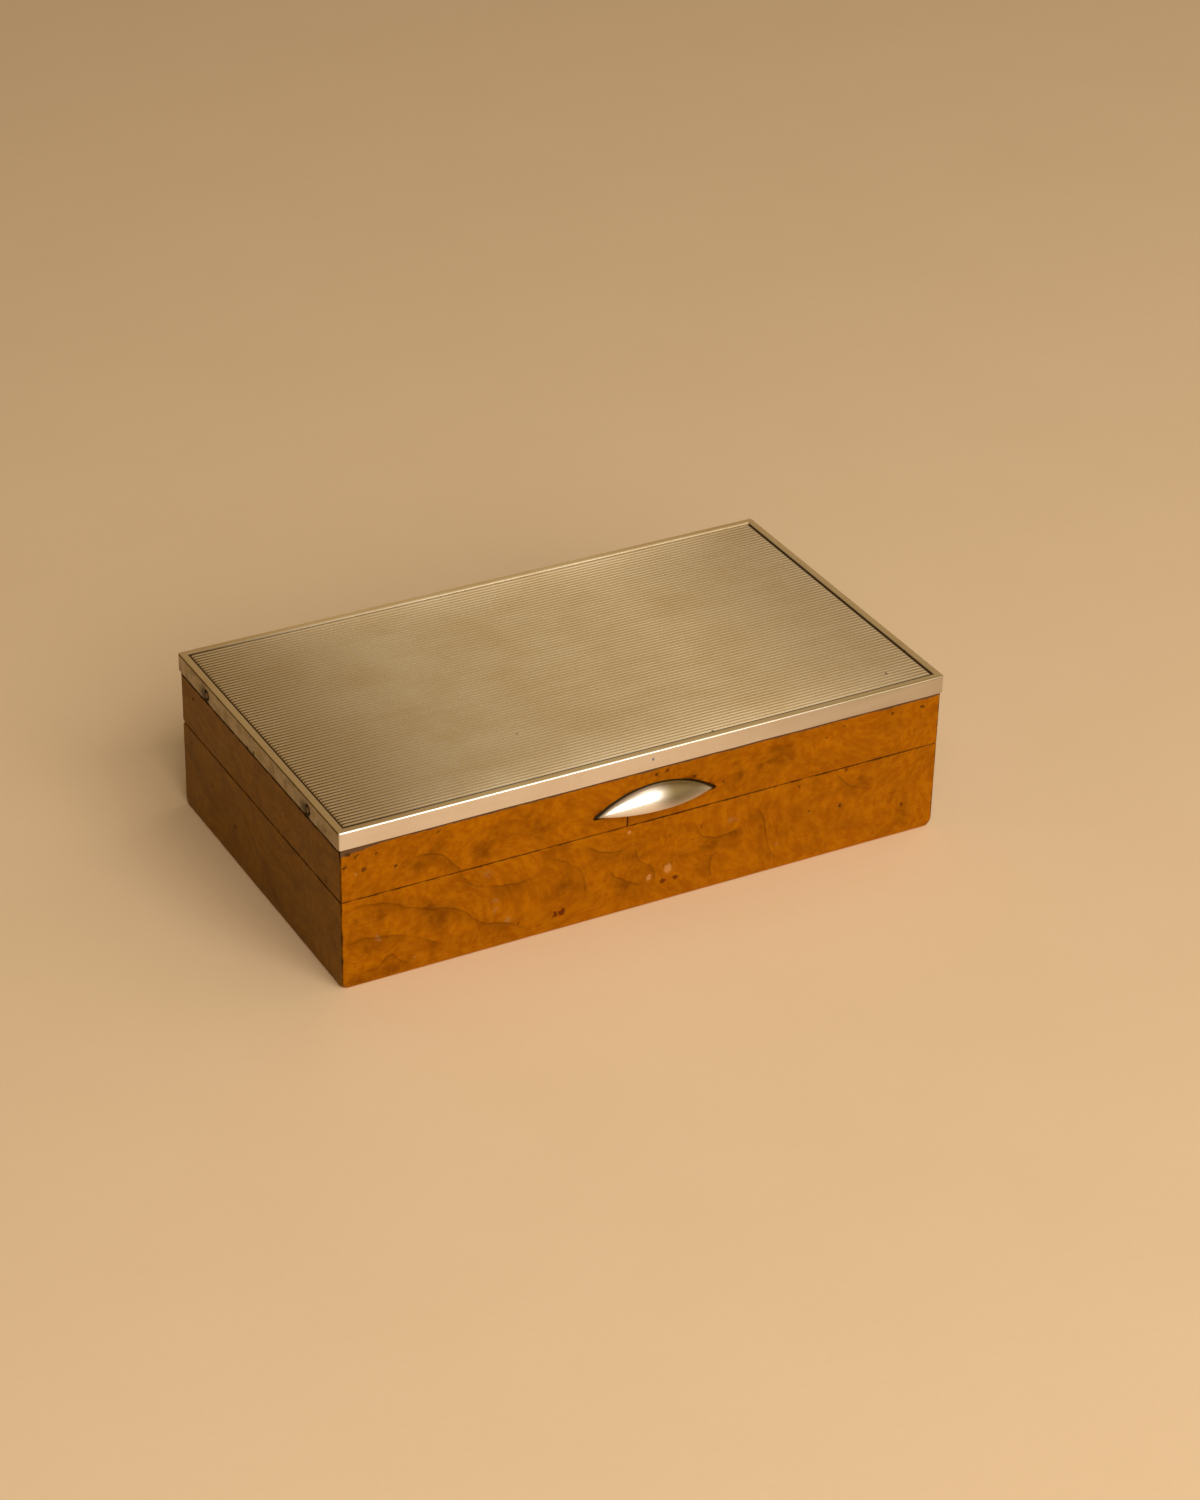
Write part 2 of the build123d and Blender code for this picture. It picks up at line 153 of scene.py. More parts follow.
class Paint:
    """A material, with short names for the nodes that make its colour, gloss and relief."""

    # Numbers of the sockets that are used on the noise node, and on the mix node for numbers and for colours
    noise_number, noise_colour = 0, 1
    number_first, number_second, number_result = 2, 3, 0
    colour_first, colour_second, colour_result = 6, 7, 2

    def __init__(self, name):
        self.material = bpy.data.materials.new(name)
        self.material.use_nodes = True
        self.tree = self.material.node_tree
        self.shader = self.tree.nodes["Principled BSDF"]
        frame_place = self.node("TexCoord").outputs["Object"]
        self.place = self.vector("SCALE", frame_place, Scale=1 / MM)
        split = self.node("SeparateXYZ", Vector=self.place)
        self.x, self.y, self.z = split.outputs

    def node(self, kind, settings=None, **inputs):
        """A new node, with its settings and what its inputs take."""
        made = self.tree.nodes.new("ShaderNode" + kind)
        for name, value in (settings or {}).items():
            setattr(made, name, value)
        for name, value in inputs.items():
            self.feed(made.inputs[name.replace("_", " ")], value)
        return made

    def feed(self, socket, value):
        """Give an input a constant, or the output of another node."""
        if isinstance(value, bpy.types.NodeSocket):
            self.tree.links.new(value, socket)
        else:
            socket.default_value = value

    def maths(self, operation, *values):
        """A number worked out from others."""
        made = self.node("Math", {"operation": operation})
        for socket, value in zip(made.inputs, values):
            self.feed(socket, value)
        return made.outputs[0]

    def scaled(self, value, times, plus):
        """A number times another, plus a third."""
        return self.maths("MULTIPLY_ADD", value, times, plus)

    def vector(self, operation, *values, **inputs):
        """A place or a distance worked out from places."""
        made = self.node("VectorMath", {"operation": operation}, **inputs)
        for socket, value in zip(made.inputs, values):
            self.feed(socket, value)
        return made.outputs["Value" if operation == "DISTANCE" else "Vector"]

    def stretched(self, place, scale, turn=(0, 0, 0)):
        """Places turned and scaled, so that a pattern runs along one way."""
        turned = [radians(angle) for angle in turn]
        return self.node("Mapping", Vector=place, Rotation=turned, Scale=scale).outputs[0]

    def cloud(self, size, detail=2.0, rough=0.5, place=None, output=noise_number):
        """Soft noise from 0 to 1 whose patches are about a size across, in millimetres."""
        place = place or self.place
        made = self.node("TexNoise", Vector=place, Scale=1 / size, Detail=detail, Roughness=rough)
        return made.outputs[output]

    def rise(self, value, start, end):
        """A soft step from 0 at start to 1 at end, which may lie below it."""
        softly = {"interpolation_type": "SMOOTHSTEP"}
        made = self.node("MapRange", softly, Value=value, From_Min=start, From_Max=end)
        return made.outputs[0]

    def mix(self, factor, first, second):
        """One colour going over to another."""
        made = self.node("Mix", {"data_type": "RGBA"}, Factor=factor)
        self.feed(made.inputs[self.colour_first], first)
        self.feed(made.inputs[self.colour_second], second)
        return made.outputs[self.colour_result]

    def over(self, base, tone, *masks):
        """A colour with a tone laid over it, as strongly as the product of some masks and shares says."""
        return self.mix(self.all_of(*masks), base, tone)

    def between(self, factor, first, second):
        """One number going over to another."""
        made = self.node("Mix", Factor=factor)
        self.feed(made.inputs[self.number_first], first)
        self.feed(made.inputs[self.number_second], second)
        return made.outputs[self.number_result]

    def any_of(self, *masks):
        """The strongest of several masks."""
        strongest = masks[0]
        for mask in masks[1:]:
            strongest = self.maths("MAXIMUM", strongest, mask)
        return strongest

    def all_of(self, *masks):
        """The product of several masks or shares."""
        product = masks[0]
        for mask in masks[1:]:
            product = self.maths("MULTIPLY", product, mask)
        return product

    def least_of(self, values):
        """The least of several numbers."""
        least = values[0]
        for value in values[1:]:
            least = self.maths("MINIMUM", least, value)
        return least

    def ragged(self, size, reach, detail=3, rough=0.6):
        """Places shaken about, so that what is measured from them has a ragged edge."""
        middle = (0.5, 0.5, 0.5)
        shake = self.vector("SUBTRACT", self.cloud(size, detail, rough, output=self.noise_colour), middle)
        return self.vector("ADD", self.place, self.vector("SCALE", shake, Scale=reach))

    def marks(self, places, size=1.1, reach=2.4, soft=0.3):
        """A mask of ragged spots, each given by its place and radius in millimetres."""
        ragged = self.ragged(size, reach)
        away = [self.maths("DIVIDE", self.vector("DISTANCE", ragged, (x, y, z)), radius)
                for x, y, z, radius in places]
        edge = 1.05  # of a spot, in radii
        return self.rise(self.least_of(away), edge, edge - soft)

    def beside_line(self, along, across, spots):
        """How far across a place lies from a smooth line through spots, and a mask that ends with it."""
        start, end = spots[0][0], spots[-1][0]
        low = min(level for _, level in spots)
        high = max(level for _, level in spots)
        share = self.node("MapRange", Value=along, From_Min=start, From_Max=end).outputs[0]
        curve = self.node("FloatCurve", Value=share)
        points = curve.mapping.curves[0].points
        places = [((spot - start) / (end - start), (level - low) / (high - low)) for spot, level in spots]
        points[0].location = places[0]
        points[1].location = places[-1]
        for place in places[1:-1]:
            points.new(*place)
        curve.mapping.update()
        beside = self.maths("SUBTRACT", across, self.scaled(curve.outputs[0], high - low, low))
        fade = 0.15 * (end - start)
        return beside, self.all_of(self.rise(along, start, start + fade), self.rise(along, end, end - fade))

    def growth_lines(self, place, lines):
        """Masks of dark lines through spots given by x and height, and of the shade below or left of each."""
        split = self.node("SeparateXYZ", Vector=place)
        x = split.outputs["X"]
        z = self.maths("SUBTRACT", split.outputs["Z"], figure_foot)
        line_reach, line_core = 0.7, 0.05
        shade_reach, shade_edge = 7.0, 0.3
        drawn, shaded = [], []
        for spots in lines:
            (first_x, first_z), (last_x, last_z) = spots[0], spots[-1]
            if abs(last_x - first_x) > abs(last_z - first_z):
                beside, length = self.beside_line(x, z, spots)
            else:
                beside, length = self.beside_line(z, x, sorted((height, at) for at, height in spots))
            on_line = self.rise(self.maths("ABSOLUTE", beside), line_reach, line_core)
            drawn.append(self.all_of(on_line, length))
            in_shade = self.rise(beside, -shade_reach, 0.0)
            shaded.append(self.all_of(in_shade, self.rise(beside, shade_edge, 0.0), length))
        return self.any_of(*drawn), self.any_of(*shaded)

    def finish(self, base, roughness, height, depth, metallic=0.0, gloss=0.5, tint=(1, 1, 1, 1)):
        """Feed the shader. The relief's depth is in millimetres."""
        self.feed(self.shader.inputs["Base Color"], base)
        self.feed(self.shader.inputs["Roughness"], roughness)
        self.feed(self.shader.inputs["Metallic"], metallic)
        self.shader.inputs["Specular IOR Level"].default_value = gloss
        self.shader.inputs["Specular Tint"].default_value = tint
        relief = self.node("Bump", Strength=1.0, Distance=depth * MM, Height=height)
        self.feed(self.shader.inputs["Normal"], relief.outputs[0])
        return self.material


# The wood's figure and marks go by x and by height over a line under the parting line, in millimetres
figure_height = 31.0  # of the parting line over that line
figure_foot = parting / MM - figure_height
# Growth lines of the front, from left to right: x and height of the spots that each runs through
front_lines = [
    [(-99.0, 28.9), (-88.0, 27.8), (-72.0, 21.3), (-65.0, 19.8), (-55.5, 12.3), (-44.0, 7.1), (-35.0, 2.2)],
    [(-99.0, 17.6), (-83.5, 15.4), (-72.0, 10.6), (-66.0, 6.3)],
    [(-98.5, 7.6), (-90.5, 5.6), (-84.0, 9.0), (-82.0, 6.9), (-77.0, 3.6)],
    [(-79.0, 40.0), (-71.5, 39.8), (-63.5, 34.2), (-59.0, 26.5), (-54.0, 23.4), (-47.5, 21.9), (-35.5, 23.1)],
    [(-34.0, 27.8), (-26.5, 23.1), (-22.0, 18.5), (-21.0, 11.2)],
    [(-21.5, 29.5), (-19.0, 25.8), (-15.0, 23.7), (-8.0, 24.0)],
    [(-14.0, 19.6), (-12.0, 15.6), (-8.0, 12.2), (-3.0, 9.4)],
    [(-5.0, 23.9), (-3.0, 18.2), (1.3, 14.3), (2.3, 8.8)],
    [(14.7, 29.7), (15.7, 25.1), (17.1, 21.6), (21.4, 19.1), (30.8, 20.0)],
    [(25.1, 13.7), (21.0, 11.3), (22.0, 4.8)],
    [(35.7, 26.5), (38.5, 21.3), (39.7, 15.7), (41.7, 8.9), (44.6, 4.6)],
    [(63.3, 30.3), (67.1, 25.8), (71.6, 23.2), (77.0, 21.6)],
]
# Smoky clouds of the front: x, height and radius
front_clouds = [
    (-95.0, 24.0, 4.5), (-94.0, 3.0, 6.0), (-91.0, 13.0, 5.5), (-87.0, 24.0, 5.0), (-84.0, 3.5, 5.0),
    (-79.0, 40.0, 6.0), (-76.0, 37.0, 6.0), (-73.0, 21.0, 6.0), (-70.0, 8.0, 4.5), (-69.0, 39.0, 6.0),
    (-68.5, 15.0, 8.0), (-65.0, 34.0, 5.5), (-54.0, 37.0, 7.0), (-52.0, 41.0, 5.5), (-47.0, 40.5, 7.0),
    (-42.0, 41.5, 6.0), (-36.0, 38.0, 6.0), (-33.5, 27.5, 5.5), (-28.5, 27.0, 5.0), (-28.0, 17.0, 6.5),
    (-27.0, 43.5, 4.5), (-8.0, 10.0, 5.0), (20.0, 16.0, 5.5), (26.0, 35.0, 4.5), (28.0, 43.0, 4.5),
    (29.0, 37.0, 4.5), (30.0, 19.5, 4.5), (37.0, 41.0, 6.0), (43.0, 41.0, 7.5), (47.0, 42.5, 5.5),
    (73.0, 25.0, 6.0), (88.0, 9.5, 6.5),
]

# Marks of use on the front, from left to right: x, height and radius
front_pits = [
    (-98.2, 42.6, 0.8), (-97.0, 46.6, 0.8), (-94.4, 45.3, 0.6), (-92.2, 40.5, 0.8), (-88.4, 44.6, 0.5),
    (-82.3, 38.7, 0.8), (-68.7, 46.5, 0.6), (1.9, 46.3, 0.7), (5.2, 46.8, 0.7), (14.4, 42.1, 0.6),
    (17.4, 24.2, 0.5), (24.5, 37.6, 0.6), (50.8, 28.7, 0.5), (59.7, 43.2, 0.6), (65.6, 45.7, 0.6),
    (65.7, 17.9, 0.8), (67.1, 30.0, 0.7), (82.6, 45.6, 0.7), (93.3, 45.3, 0.8),
]
front_chips = [
    (-94.5, 39.7, 0.5), (-76.6, 6.2, 0.5), (-7.0, 29.1, 0.8), (0.0, 11.2, 1.3), (6.6, 12.6, 1.7),
    (11.5, 41.8, 0.5), (13.4, 41.3, 0.4),
]
front_stains = [(-43.4, 7.6, 0.7), (-31.1, 7.3, 1.0), (-28.8, 7.7, 1.1), (4.8, 8.6, 0.9), (9.1, 8.6, 0.9)]
front_scuffs = [
    (-88.0, 15.9, 1.4), (-53.3, 27.6, 1.5), (-51.0, 18.0, 1.2), (-50.6, 14.5, 1.1), (-46.6, 10.4, 1.4),
    (27.2, 23.8, 1.3), (30.0, 23.9, 0.9), (43.8, 9.9, 0.8),
]
crack_x = -7.6  # of a crack from the thumb piece down to the parting line
# Marks on the left end: place along the side, height and radius
left_pits = [
    (50.4, 26.7, 0.7), (47.8, 43.2, 0.7), (18.5, 14.4, 0.9), (-20.0, 40.0, 0.5), (-47.0, 33.0, 0.8),
    (-10.0, 22.0, 0.5), (35.0, 20.0, 0.5),
]
speck_gap = 11  # between the dots of the other pits

# Tones of the wood: pale, amber and brown. The boards of the ends are darker and yellower on the outside, as
# painted shade.
wood_tones = colour(161, 93, 3), colour(146, 79, 1), colour(96, 47, 1)
shaded_end_tones = colour(132, 88, 10), colour(118, 76, 7), colour(84, 51, 4)
line_tone = colour(66, 32, 4)
pore_tone = colour(62, 32, 5)
# Painted light: a pale line at the foot of the boards
foot_light_tone = colour(214, 146, 44)
# Grime of the parting line and a crack, with painted shade at the corners and in the thumb piece's recess
grime_and_shade_tone = colour(38, 20, 6)
# Dust with painted shadow under the rim, darker on the end boards
front_dust_and_shade = colour(84, 62, 42)
end_dust_and_shade = colour(24, 14, 4)
scuff_tone = colour(150, 112, 72)
stain_tone = colour(78, 24, 6)
chip_tone = colour(198, 140, 80)
pit_tone = colour(46, 28, 12)
polish_tint = colour(255, 190, 70)

# Tones of the silver, its tarnish and its dirt, and of painted reflection and shade on it
bright_silver = colour(245, 240, 236)
warm_silver = colour(228, 214, 196)
# Painted reflection on the top, in khaki
pale_khaki = colour(216, 200, 172)
deep_khaki = colour(206, 186, 152)
brown_khaki = colour(158, 130, 88)
# Tarnish with painted shade, on the rim's left end and right front and on the thumb piece
tarnish_and_shade_tone = colour(138, 117, 66)
# Painted shade on the thumb piece: its darker right, its band beside the wood and its seam
thumb_shade_tone = colour(92, 76, 40)
matt_shade_tone = colour(132, 110, 60)
seam_shade_tone = colour(44, 30, 12)
patch_tone = colour(94, 72, 26)
smudge_tone = colour(66, 48, 16)
hollow_tone = colour(60, 40, 17)
# Painted shadow, with dirt, in the crescent round each pin
crescent_shade_tone = colour(24, 14, 5)
pin_tone = colour(112, 90, 56)
spot_tone = colour(48, 36, 22)

# Tones of cedar, brass and floor
cedar_pale, cedar_dark = colour(168, 104, 64), colour(134, 74, 44)
cedar_fibre, cedar_stain = colour(104, 56, 34), colour(92, 54, 36)
brass_bright, brass_brown, brass_speck = colour(206, 168, 96), colour(142, 104, 52), colour(92, 66, 34)
floor_pale, floor_deep, floor_speck = colour(226, 193, 154), colour(221, 187, 147), colour(212, 179, 140)


def figured_wood(name, along, outside_tones, dust_and_shade, under_rim_reach, parting_reach, lines=()):
    """Old polished burr: growth lines, smoky clouds, short pores, grime and painted shade at the edges,
    painted shadow with dust under the rim, a painted line of light at the foot, outside tones given by the
    caller (darker, as painted shade, on the end boards), and marks of use.
    """
    paint = Paint(name)
    front = -wood_half_width / MM
    left = -wood_half_length / MM
    parting_height = parting / MM
    thumb_foot = thumb_low.z / MM
    from_end = paint.maths("SUBTRACT", -left, paint.maths("ABSOLUTE", paint.x))
    from_side = paint.maths("SUBTRACT", -front, paint.maths("ABSOLUTE", paint.y))
    from_outside = paint.maths("MINIMUM", from_end, from_side)
    # Near the outer faces the boards take outside_tones: on the end boards these are darker tones of painted
    # shade
    outside = paint.rise(from_outside, 2.0, 1.2)
    pale, amber, brown = [paint.mix(outside, inner, outer) for inner, outer in zip(wood_tones, outside_tones)]

    def on_front(spots):
        """Places and radii of spots on the front."""
        return [(x, front, figure_foot + height, radius) for x, height, radius in spots]

    # Growth lines: contours of a rolling field, and chosen ones on the front
    wavy = paint.ragged(size=9, reach=3.0, detail=2)
    bent = paint.ragged(size=40, reach=34.0, detail=1)
    slanting = paint.stretched(bent, scale=(0.62, 0.62, 1.1), turn=(0, 24, 0))
    rolling = paint.cloud(46, detail=1.2, rough=0.4, place=slanting)
    field_height, half_gap = 100.0, 6.0  # of the field, and between its contours
    from_contour = paint.maths("PINGPONG", paint.maths("MULTIPLY", rolling, field_height), half_gap)
    line = paint.all_of(paint.rise(from_contour, 0.5, 0.05), 0.4)
    shade = paint.all_of(paint.rise(from_contour, 3.0, 0.3), 0.6)
    seen = paint.rise(paint.cloud(14, detail=2), 0.2, 0.55)
    along_streaks = paint.stretched(wavy, scale=(0.5, 0.5, 1.0), turn=(0, 20, 0))
    streaks = paint.rise(paint.cloud(6, detail=5, rough=0.66, place=along_streaks), 0.36, 0.68)
    smoke = paint.all_of(streaks, 0.3)
    if lines:
        at_front = paint.rise(paint.y, front + 6.0, front + 3.0)
        drawn, drawn_shade = paint.growth_lines(wavy, lines)
        line = paint.between(at_front, line, drawn)
        shade = paint.between(at_front, shade, drawn_shade)
        dark_clouds = paint.marks(on_front(front_clouds), size=8.0, reach=12.0, soft=1.0)
        smoke = paint.any_of(smoke, paint.all_of(dark_clouds, paint.scaled(streaks, 0.62, 0.2)))

    # Mottle, fibres and pores
    mottle = paint.cloud(2.6, detail=4, rough=0.62, place=bent)
    fibre = paint.cloud(1.0, detail=3, rough=0.6, place=paint.stretched(paint.place, along))
    pore = paint.rise(fibre, 0.64, 0.74)
    curls = paint.rise(paint.cloud(2.2, detail=4, rough=0.7, place=along_streaks), 0.5, 0.72)
    wood = paint.over(amber, pale, paint.rise(mottle, 0.36, 0.64))
    wood = paint.over(wood, brown, paint.any_of(smoke, paint.all_of(curls, 0.25)))
    wood = paint.over(wood, brown, shade, seen, 0.34)
    wood = paint.over(wood, line_tone, line, seen, 0.32)
    wood = paint.over(wood, pore_tone, pore, 0.3)

    # Painted pale line of light bounced from the floor, at the foot
    at_foot = paint.rise(paint.scaled(mottle, 0.8, paint.z), 1.2, 0.6)
    wood = paint.over(wood, foot_light_tone, at_foot, 0.6)

    # Grime along the parting line and in a crack below the thumb piece, grime with painted shade down the
    # corners, and painted shade in the thumb piece's recess
    wobble = paint.scaled(paint.cloud(4.5, detail=4, rough=0.65), 1.6, -0.8)
    from_parting = paint.maths("ABSOLUTE", paint.maths("SUBTRACT", paint.z, parting_height))
    at_parting = paint.all_of(paint.rise(paint.scaled(wobble, 0.5, from_parting), parting_reach, 0.0),
                              paint.rise(from_outside, 1.6, 0.6))
    from_corner = paint.maths("MAXIMUM", from_end, from_side)
    at_corner = paint.rise(paint.scaled(wobble, 0.6, from_corner), 0.6, 0.1)
    recess_shade = paint.all_of(paint.rise(paint.y, front + 0.1, front + 0.5),
                             paint.rise(paint.y, front + 2.0, front + 1.2),
                             paint.rise(paint.z, thumb_foot - 2.0, thumb_foot - 1.5),
                             paint.rise(from_end, 60.0, 70.0))
    beside_crack = paint.maths("SUBTRACT", paint.x, crack_x)
    from_crack = paint.maths("ABSOLUTE", paint.scaled(wobble, 0.25, beside_crack))
    crack = paint.all_of(paint.rise(from_crack, 0.4, 0.15),
                         paint.rise(paint.z, thumb_foot + 0.5, thumb_foot - 0.2),
                         paint.rise(paint.z, parting_height - 0.1, parting_height + 0.1),
                         paint.rise(paint.y, front + 1.5, front + 0.5))
    # Grime together with painted shade at the corners and in the recess
    grime = paint.any_of(at_parting, at_corner, recess_shade, crack)
    wood = paint.over(wood, grime_and_shade_tone, grime, 0.85)

    # Painted shadow with some dust in a strip under the rim, wider at the front's left
    below_rim = paint.maths("SUBTRACT", cover_low.z / MM, paint.z)
    front_left = paint.all_of(paint.rise(paint.x, 0.82 * left, left),
                              paint.rise(paint.y, front + 1.0, front + 0.5))
    below_strip = paint.maths("SUBTRACT", below_rim, paint.scaled(front_left, 1.5, under_rim_reach))
    under_rim = paint.rise(paint.maths("ADD", below_strip, wobble), 0.1, -0.3)
    wood = paint.over(wood, dust_and_shade, under_rim, 0.9)

    # Pits, chips, stains and scuffs
    speck = paint.node("TexVoronoi", Vector=paint.ragged(size=1.1, reach=1.6), Scale=1 / speck_gap)
    few = paint.rise(paint.node("SeparateColor", Color=speck.outputs["Color"]).outputs[0], 0.6, 0.62)
    dots = paint.all_of(paint.rise(speck.outputs["Distance"], 0.05, 0.02), few)
    on_left = [(left, y, figure_foot + height, radius) for y, height, radius in left_pits]
    pits = paint.any_of(dots, paint.marks(on_front(front_pits) + on_left, size=1.0, reach=2.8, soft=0.6))
    chips = paint.marks(on_front(front_chips), size=1.3, reach=2.0, soft=0.6)
    stains = paint.marks(on_front(front_stains), size=1.1, reach=3.0)
    rubbed = paint.marks(on_front(front_scuffs), size=1.6, reach=6.0)
    scuffs = paint.all_of(rubbed, paint.rise(fibre, 0.35, 0.6))
    wood = paint.over(wood, scuff_tone, scuffs, 0.4)
    wood = paint.over(wood, stain_tone, stains, 0.8)
    wood = paint.over(wood, chip_tone, chips, 0.5)
    wood = paint.over(wood, pit_tone, pits, 0.75)

    # Gloss and relief
    dull = paint.scaled(paint.cloud(14, detail=4, rough=0.6), 0.2, 0.28)
    dull = paint.scaled(paint.any_of(grime, under_rim, pits, chips, scuffs), 0.4, dull)
    holes = paint.any_of(pits, chips, crack, paint.all_of(pore, 0.25))
    height = paint.scaled(holes, -1.0, paint.all_of(mottle, 0.12))
    return paint.finish(wood, dull, height, depth=0.14, gloss=0.05, tint=polish_tint)


def aged_silver(name):
    """Worn silver: warm tarnish in hollows, tarnish with painted shade on the left end and at the rim's
    right, painted shade on the thumb piece, a painted khaki reflection on the top, a painted shadow in a
    crescent round each pin, and small dark spots.
    """
    paint = Paint(name)
    half_length, half_width, top = [value / MM for value in cover_high]
    rim_foot = cover_low.z / MM
    wood_front = -wood_half_width / MM
    thumb_foot = thumb_low.z / MM
    hollow = paint.node("Attribute", {"attribute_name": "grime"}).outputs["Fac"]
    cloud = paint.cloud(26, detail=5, rough=0.6)
    streak = paint.cloud(4.0, detail=4, rough=0.6, place=paint.stretched(paint.place, (0.12, 1.0, 1.0)))
    warm = paint.rise(paint.scaled(streak, 0.4, cloud), 0.5, 0.95)
    silver = paint.over(bright_silver, warm_silver, warm, 0.5)

    # Painted khaki reflection on the top, browner near its ends
    high = paint.rise(paint.z, top - 0.6, top - 0.4)
    on_top = paint.all_of(high, paint.rise(paint.y, 0.2 - half_width, 0.6 - half_width))
    near_ends = paint.any_of(paint.all_of(paint.rise(paint.x, -0.4 * half_length, -half_length), 0.6),
                             paint.all_of(paint.rise(paint.x, 0.3 * half_length, half_length), 0.35))
    khaki_reflection = paint.over(paint.over(pale_khaki, deep_khaki, warm), brown_khaki, near_ends)
    silver = paint.over(silver, khaki_reflection, on_top)

    # Tarnish with painted shade on the rim's left end and right front, dimming their reflections and the
    # front edge's highlight towards the right; painted shade on the thumb piece beside the wood, in its seam
    # and at its right
    on_left = paint.rise(paint.x, 0.4 - half_length, 0.1 - half_length)
    on_front = paint.all_of(paint.rise(paint.y, 0.9 - half_width, 0.7 - half_width),
                            paint.rise(paint.x, 0.0, 0.8 * half_length),
                            paint.scaled(high, 0.4, 0.5))
    is_thumb = paint.rise(paint.z, rim_foot - 2.0, rim_foot - 3.0)
    by_wood = paint.rise(paint.y, wood_front - 1.8, wood_front - 0.3)
    at_right = paint.all_of(paint.rise(paint.x, -3.0, 7.0),
                            paint.rise(paint.z, thumb_foot - 1.5, thumb_foot + 3.5))
    # Painted shade and reflection of the wood: a dark, non-metallic band on the thumb piece beside the wood
    matt_shade = paint.all_of(is_thumb, by_wood, 0.7)
    on_thumb = paint.any_of(matt_shade, paint.all_of(is_thumb, at_right))
    tarnish_and_shade = paint.all_of(paint.any_of(on_left, on_front, on_thumb), paint.scaled(streak, 0.5, 0.6))
    seam_shade = paint.rise(paint.y, wood_front - 0.6, wood_front - 0.1)
    patches = paint.rise(paint.cloud(5, detail=4, rough=0.6), 0.45, 0.65)
    silver = paint.over(silver, tarnish_and_shade_tone, tarnish_and_shade)
    silver = paint.over(silver, thumb_shade_tone, is_thumb, at_right, 0.7)
    silver = paint.over(silver, matt_shade_tone, matt_shade)
    silver = paint.over(silver, seam_shade_tone, is_thumb, seam_shade, 0.85)
    silver = paint.over(silver, patch_tone, on_left, patches, 0.5)

    # Dirt in the hollows, and a painted shadow with dirt in a crescent round each pin
    pin_heads = [(x, y, pin_z / MM) for x in (-half_length, half_length) for y in (-pin_y / MM, pin_y / MM)]
    around = paint.marks([(x, y - 0.5, z + 0.4, 2.0) for x, y, z in pin_heads], size=0.8, reach=0.8)
    heads = paint.marks([(x, y, z, 1.0) for x, y, z in pin_heads], size=0.8, reach=0.3)
    smudges = paint.marks([(x, y + 1.5, z, 4.5) for x, y, z in pin_heads], size=2.0, reach=3.0, soft=0.9)
    silver = paint.over(silver, smudge_tone, smudges, 0.85)
    silver = paint.over(silver, hollow_tone, hollow)
    silver = paint.over(silver, crescent_shade_tone, around, 0.95)
    silver = paint.over(silver, pin_tone, heads)
    hollow = paint.any_of(hollow, paint.maths("SUBTRACT", around, heads))

    # Small dark spots on the top, on the rim's front and on its left end
    spot_places = [
        (85.1, -48.3, top, 0.5), (97.3, -38.9, top, 0.6), (-30.4, -30.5, top, 0.5), (21.5, -54.6, top, 0.6),
        (0.0, -half_width, top - 2.5, 0.5),
        (-half_length, 1.0, top - 5.0, 0.8), (-half_length, 5.6, top - 5.6, 0.7),
    ]
    spots = paint.marks(spot_places, size=0.8, reach=1.2)
    silver = paint.over(silver, spot_tone, spots, 0.8)

    # Gloss and relief
    dull = paint.scaled(cloud, 0.14, 0.2)
    dull = paint.scaled(paint.any_of(hollow, tarnish_and_shade), 0.2, dull)
    dents = paint.cloud(9, detail=2, rough=0.5)
    height = paint.scaled(spots, -0.5, dents)
    bare = paint.scaled(paint.any_of(hollow, spots, matt_shade), -0.9, 1.0)
    return paint.finish(silver, dull, height, depth=0.03, metallic=bare, gloss=0.0)


def cedar(name, along):
    """Plain cedar of the lining, with long grain that sways a little, and faint stains."""
    paint = Paint(name)
    swaying = paint.ragged(size=60, reach=8.0, detail=1, rough=0.5)
    grain_place = paint.stretched(swaying, along)
    season = paint.cloud(5.0, detail=2, rough=0.5, place=grain_place)
    fibre = paint.cloud(0.8, detail=3, rough=0.6, place=grain_place)
    stain = paint.rise(paint.cloud(35, detail=4, rough=0.6), 0.5, 0.75)
    wood = paint.over(cedar_pale, cedar_dark, paint.rise(season, 0.35, 0.65))
    wood = paint.over(wood, cedar_fibre, paint.rise(fibre, 0.55, 0.75), 0.4)
    wood = paint.over(wood, cedar_stain, stain, 0.3)
    dull = paint.scaled(fibre, 0.2, 0.5)
    return paint.finish(wood, dull, fibre, depth=0.06)


def old_brass(name):
    """Brass of the hinges, bright and brown in patches, with fine dark specks."""
    paint = Paint(name)
    cloud = paint.cloud(6, detail=4, rough=0.6)
    fine = paint.cloud(0.7, detail=3, rough=0.65)
    brass = paint.over(brass_bright, brass_brown, paint.rise(cloud, 0.4, 0.7))
    brass = paint.over(brass, brass_speck, paint.rise(fine, 0.58, 0.78))
    dull = paint.scaled(cloud, 0.25, 0.22)
    return paint.finish(brass, dull, fine, depth=0.02, metallic=1.0)


def table_top(name):
    """Pale matt floor with a faint mottle."""
    paint = Paint(name)
    mottle = paint.cloud(60, detail=4, rough=0.6)
    fine = paint.cloud(2.5, detail=3, rough=0.6)
    paper = paint.over(floor_pale, floor_deep, mottle)
    paper = paint.over(paper, floor_speck, fine, 0.2)
    return paint.finish(paper, roughness=0.72, height=fine, depth=0.05, gloss=0.2)


